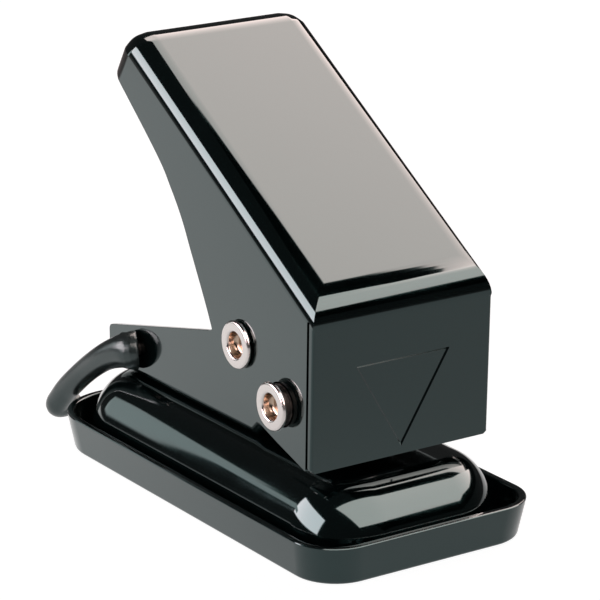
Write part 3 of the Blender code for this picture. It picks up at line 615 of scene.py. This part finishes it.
front_fold, side_fold, rear_fold = 4.5, 5.0, 6.5
slope = Vector((0, rear_top.x - front_top.x, rear_top.y - front_top.y)).normalized()
drop = Vector((0, tip.x - rear_top.x, tip.y - rear_top.y)).normalized()
shape = bmesh.new()
shape.from_mesh(lever.data)
layers = shape.edges.layers.float
weights = layers.get("bevel_weight_edge") or layers.new("bevel_weight_edge")
for e in shape.edges:
    if len(e.link_faces) < 2:
        continue
    if crosswise(e) and near(e, *front_top):
        e[weights] = front_fold / rear_fold
    elif crosswise(e) and near(e, *rear_top):
        e[weights] = 1.0
    elif abs(along(e).dot(slope)) > 0.99 or (abs(along(e).dot(drop)) > 0.99 and middle(e).y > 20 * mm):
        e[weights] = side_fold / rear_fold
shape.to_mesh(lever.data)
shape.free()
work(lever, "BEVEL", width=rear_fold * mm, segments=12, limit_method="WEIGHT", use_clamp_overlap=False)
work(lever, "SOLIDIFY", thickness=sheet, offset=-1.0, use_even_offset=True)

seam_middle, seam_half = 18.6, 1.4
seam_end = 45 * mm
for side in (-1, 1):
    seam = slab("seam_tool", (side * seam_middle - seam_half, -36.70, 14.0),
                (side * seam_middle + seam_half, -36.0, 46.2))
    edit(seam)
    pick("EDGE", lambda e: crosswise(e) and middle(e).z > seam_end)
    bpy.ops.mesh.bevel(offset=0.2 * mm, segments=4, affect="EDGES")
    pick("VERT", lambda v: v.co.z > seam_end)
    bpy.ops.transform.translate(value=(0, -0.68 * mm, 0))
    leave()
    carve(lever, seam)
sleeve_hole = 4.2 * mm
bored(lever, sleeve_hole, cross(pivot_axis), 60 * mm, "X")
bored(lever, rivet_hole, cross(drive_axis), 60 * mm, "X")

mark_width = 0.28 * mm
mark_depth = 0.32 * mm
mark = pulled("centre_mark", [(x * mm, (face_y(z) - 0.5) * mm, z * mm)
                              for x, z in ((-10.1, 36.4), (10.3, 36.4), (0.1, 19.5))], (0, 0.5 * mm, 0))
pick("FACE", lambda f: f.normal.y > 0.9)
bpy.ops.mesh.inset(thickness=mark_width, depth=mark_depth)
leave()
carve(lever, mark)
edit(lever)
pick("EDGE", lambda e: abs(along(e).y) > 0.9 and middle(e).y < -36.6 * mm and middle(e).z < 18.6 * mm
     and abs(middle(e).x) > 19.4 * mm)
bpy.ops.mesh.bevel(offset=0.9 * mm, segments=6, affect="EDGES")
pick("EDGE", lambda e: upright(e) and abs(abs(middle(e).x) - lever_half) < 0.02 * mm
     and abs(middle(e).y - face_y(middle(e).z / mm) * mm) < 0.1 * mm and middle(e).z < 47 * mm)
bpy.ops.mesh.bevel(offset=0.45 * mm, segments=4, affect="EDGES")
leave()
work(lever, "BEVEL", width=0.22 * mm, segments=2, limit_method="ANGLE", angle_limit=math.radians(55))
# The mark's level top line is cut once more after the small edge rounds.
groove = slab("groove_tool", (-10.0, face_y(36.4) - 0.5, 36.24), (10.2, face_y(36.4) + 0.45, 36.56))
carve(lever, groove, use_hole_tolerant=True)
dress(lever, black_enamel, "black_gloss", "lever", "lever_shell")


# Rivets: two tubular steel rivets through lever and bracket, their ends rolled over into flat
# bright rings. The lower one is the pivot and turns in sleeves; the upper one drives the punch.
def nickel():
    """Bright nickel on rolled steel: fine rings round each axis, a brown shadow in the bores."""
    skin = Finish("nickel_plate")
    where = skin.place()
    inside = 0.0
    rings = 0.0
    for y, z in (pivot_axis, drive_axis):
        off = skin.add("ShaderNodeVectorMath", {"operation": "MULTIPLY_ADD"},
                       {0: where, 1: (0, 1, 1), 2: (0, -y * mm, -z * mm)}, "Vector")
        reach = skin.sized("LENGTH", off)
        shade = skin.between(reach, 0.0023, 0.0026, 1.0, 0.0) * skin.between(reach, 0.0004, 0.0016, 0.25, 1.0)
        inside = shade + inside
        ripple = skin.math("SINE", reach * 42000)
        rings = ripple * skin.between(reach, 0.0048, 0.0052, 1.0, 0.0) + rings
    pits = skin.noise(where, 3200, 3)
    cloud = skin.noise(where, 500, 3)
    colour = skin.mixed(cloud, (0.74, 0.69, 0.665, 1), (0.83, 0.79, 0.77, 1))
    colour = skin.mixed(inside, colour, (0.50, 0.38, 0.29, 1))
    return skin.close_surface({
        "Base Color": colour, "Metallic": 1.0, "Roughness": skin.between(cloud, 0.3, 0.7, 0.16, 0.26),
        "Normal": skin.bump(rings * 0.12 + pits, 0.000012),
    })


def turned(name, profile, axis, steps=48):
    """A profile of (place along X, radius) pairs, in millimetres, spun round a cross axis."""
    y, z = axis
    piece = draw(name, [(x * mm, y * mm, (z + r) * mm) for x, r in profile])
    bpy.ops.mesh.select_all(action="SELECT")
    bpy.ops.mesh.delete(type="ONLY_FACE")
    bpy.ops.mesh.select_mode(type="EDGE")
    bpy.ops.mesh.select_all(action="SELECT")
    bpy.ops.mesh.spin(steps=steps, angle=2 * math.pi, center=cross(axis), axis=(1, 0, 0))
    bpy.ops.mesh.select_all(action="SELECT")
    bpy.ops.mesh.remove_doubles(threshold=0.000004)
    bpy.ops.mesh.normals_make_consistent(inside=False)
    leave()
    return piece


def rolled_rivet(name, axis, reach):
    """Half a turned rivet, its ring flat outside and rolled into the bore, mirrored to the other end."""
    ring = reach - 0.9
    deep = reach - 2.1
    profile = [
        (0.0, 3.0), (ring, 3.0), (ring, 4.25), (ring + 0.12, 4.45), (ring + 0.35, 4.55), (ring + 0.62, 4.48),
        (ring + 0.82, 4.28), (reach, 4.0), (reach, 2.95), (reach - 0.06, 2.72), (reach - 0.22, 2.52),
        (reach - 0.5, 2.4), (reach - 1.2, 2.3), (deep + 0.42, 2.1), (deep + 0.12, 1.75), (deep, 1.35),
        (deep + 0.08, 1.0), (deep + 0.32, 0.6), (deep + 0.42, 0.0),
    ]
    other = [(-x, r) for x, r in reversed(profile[1:])]
    return turned(name, profile + other, axis)


nickel_plate = nickel()
drive = rolled_rivet("drive_rivet_rolled", drive_axis, 20.8)
dress(drive, nickel_plate, "nickel", "lever", "drive_rivet")
pivot = rolled_rivet("pivot_rivet_rolled", pivot_axis, 22.0)
dress(pivot, nickel_plate, "nickel", "body", "pivot_rivet")


# Tray catch: an arm moulded in satin black plastic, thick where it turns on its stud in the
# bracket's left wall, that curves down behind the tray's corner and hooks in under its rim.
def satin_plastic():
    """Satin black plastic: flow clouds and a fine mould grain, its black lifted to grey as a painted soft
    sheen.
    """
    skin = Finish("black_satin_plastic")
    where = skin.place()
    grain = skin.noise(where, 3800, 3)
    flow = skin.noise(where, 260, 4, 0.6)
    return skin.close_surface({
        # Both base greys sit above plain black plastic as a painted soft sheen; the flow clouds vary them.
        "Base Color": skin.mixed(flow, (0.024, 0.034, 0.035, 1), (0.042, 0.054, 0.055, 1)),
        "Roughness": skin.between(flow, 0.25, 0.75, 0.30, 0.42),
        "IOR": 1.5, "Specular Tint": (0.6, 1.0, 1.0, 1),
        "Coat Weight": 0.8, "Coat Roughness": 0.22, "Coat IOR": 1.5,
        "Normal": skin.bump(grain * 0.6 + flow * 1.5, 0.00001),
    })


def swept(name, stations, steps=4, sides=28):
    """A ring carried along a soft line and resized at each station (x, y, z, radius)."""
    path = smooth_line([s[:3] for s in stations], steps)
    sizes = smooth_line([(s[3], 0, 0) for s in stations], steps)
    piece = begin(name, "circle", vertices=sides, radius=1.0, fill_type="NGON")
    edit(piece)
    bpy.ops.mesh.select_all(action="SELECT")
    here, heading, radius = Vector((0, 0, 0)), Vector((0, 0, 1)), 1.0
    for k, (spot, size) in enumerate(zip(path, sizes)):
        ahead = (path[min(k + 1, len(path) - 1)] - path[max(k - 1, 0)]).normalized()
        if k:
            bpy.ops.mesh.extrude_region_move(TRANSFORM_OT_translate={"value": spot * mm - here})
        else:
            bpy.ops.transform.translate(value=spot * mm - here)
        here = spot * mm
        turn = heading.rotation_difference(ahead).to_matrix()
        for v in bmesh.from_edit_mesh(piece.data).verts:
            if v.select:
                v.co = here + turn @ (v.co - here) * (size.x * mm / radius)
        bmesh.update_edit_mesh(piece.data)
        heading, radius = ahead, size.x * mm
    bpy.ops.mesh.select_all(action="SELECT")
    bpy.ops.mesh.normals_make_consistent(inside=False)
    leave()
    return piece


catch_axis = (32.25, 21.2)
arm = swept("tray_catch_arm", [
    (-13.35, 31.6, 21.0, 3.9), (-14.3, 32.2, 20.9, 3.8), (-15.3, 34.4, 20.3, 3.3), (-16.6, 38.5, 18.2, 2.75),
    (-17.6, 43.9, 14.3, 2.5), (-18.8, 48.9, 9.6, 2.45), (-19.6, 51.2, 6.6, 2.4), (-19.9, 52.2, 5.0, 2.35),
    (-18.9, 52.4, 4.3, 2.25), (-16.8, 52.5, 4.3, 2.1), (-14.6, 52.6, 4.5, 1.6),
])
nub = begin("nub", "uv_sphere", segments=16, ring_count=10, radius=0.8 * mm,
            location=(-15.2 * mm, 33.8 * mm, 23.6 * mm))
choose(arm)
nub.select_set(True)
bpy.ops.object.join()
work(arm, "REMESH", mode="VOXEL", voxel_size=0.2 * mm)
work(arm, "SMOOTH", factor=0.5, iterations=6)
bored(arm, 1.75 * mm, (-13 * mm, *cross(catch_axis)[1:]), 5.4 * mm, "X")
dress(arm, satin_plastic(), "catch_plastic", "catch", "tray_catch")


# Catch stud: a headed steel pin, blackened, pushed out through the bracket's left wall into the
# root of the arm, which swings on it. Only its head shows, on the wall's inner side.
def dark_steel():
    """Blackened steel: brown-black oxide in clouds and turned marks along the pin."""
    skin = Finish("blackened_steel")
    where = skin.place()
    cloud = skin.noise(where, 700, 4, 0.6)
    grit = skin.noise(where, 4200, 3, 0.6)
    marks = skin.math("SINE", skin.part("X") * 26000 + cloud * 4)
    oxide = skin.between(cloud, 0.35, 0.75)
    return skin.close_surface({
        "Base Color": skin.mixed(oxide, (0.028, 0.028, 0.027, 1), (0.12, 0.105, 0.095, 1)),
        "Metallic": 0.85, "Roughness": skin.between(cloud, 0.2, 0.8, 0.30, 0.52),
        "Normal": skin.bump(marks * 0.2 + grit, 0.00003),
    })


blackened = dark_steel()
stud = turned("catch_stud_peened", [
    (-10.7, 0.0), (-10.75, 2.4), (-10.95, 2.6), (-11.3, 2.6), (-11.5, 2.45), (-11.5, 0.0),
    (-11.5, 1.6), (-15.0, 1.6), (-15.3, 1.3), (-15.4, 0.0),
], catch_axis, 32)
dress(stud, blackened, "bright_steel", "body", "catch_stud", "catch_washer")


# Pivot sleeves: short tubes of blackened steel on the lower rivet, one through each side of the
# lever, that keep the rivet's ring off the sheet. They stand a little proud of the lever.
sleeve_profile = [
    (13.3, 3.3), (13.3, 3.75), (13.45, 3.9), (19.75, 3.9), (19.85, 3.8), (19.95, 3.9), (20.65, 3.9),
    (20.8, 3.78), (20.8, 3.3),
]
for side, word in ((-1, "left"), (1, "right")):
    sleeve = turned(f"pivot_sleeve_{word}_turned", [(side * x, r) for x, r in sleeve_profile], pivot_axis)
    dress(sleeve, blackened, "bright_steel", "body", f"pivot_sleeve_{word}")


# Punch, bushes, clip and spacers: small turned steel parts, ground bright and lightly oiled.
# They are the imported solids, each given its finish.
def ground_steel(name, tone, warm, rough, spun):
    """Ground or plated steel: fine turned lines round the punch's axis and thin oil clouds."""
    skin = Finish(name)
    where = skin.place()
    cloud = skin.noise(where, 420, 4, 0.6)
    scratches = skin.noise(where, 5200, 2, 0.7)
    lines = skin.math("SINE", skin.part("Z") * spun + scratches * 3)
    low = (tone * 0.78, tone * 0.78 * (1 - warm / 2), tone * 0.78 * (1 - warm), 1)
    high = (tone, tone * (1 - warm / 3), tone * (1 - warm / 1.5), 1)
    return skin.close_surface({
        "Base Color": skin.mixed(skin.between(cloud, 0.3, 0.7), low, high), "Metallic": 1.0,
        "Roughness": skin.between(cloud, 0.25, 0.75, rough, rough + 0.14),
        "Normal": skin.bump(lines * 0.3 + scratches, 0.000012),
    })


bright = ground_steel("ground_steel", 0.56, 0.03, 0.20, 30000)
plated = ground_steel("zinc_plated_steel", 0.50, 0.10, 0.28, 18000)
sprung = ground_steel("spring_wire", 0.30, 0.06, 0.30, 9000)
for coat, names in (
    (bright, ("punch_pin", "guide_bush", "die_bush", "drive_roller")),
    (sprung, ("punch_clip", "return_spring")),
    (plated, ("spring_cap", "drive_spacer_left", "drive_spacer_right",
              "pivot_spacer_left", "pivot_spacer_right",
              "bracket_rivet_front_left", "bracket_rivet_front_right",
              "bracket_rivet_rear_left", "bracket_rivet_rear_right")),
):
    for name in names:
        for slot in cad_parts[name].material_slots:
            slot.material = coat
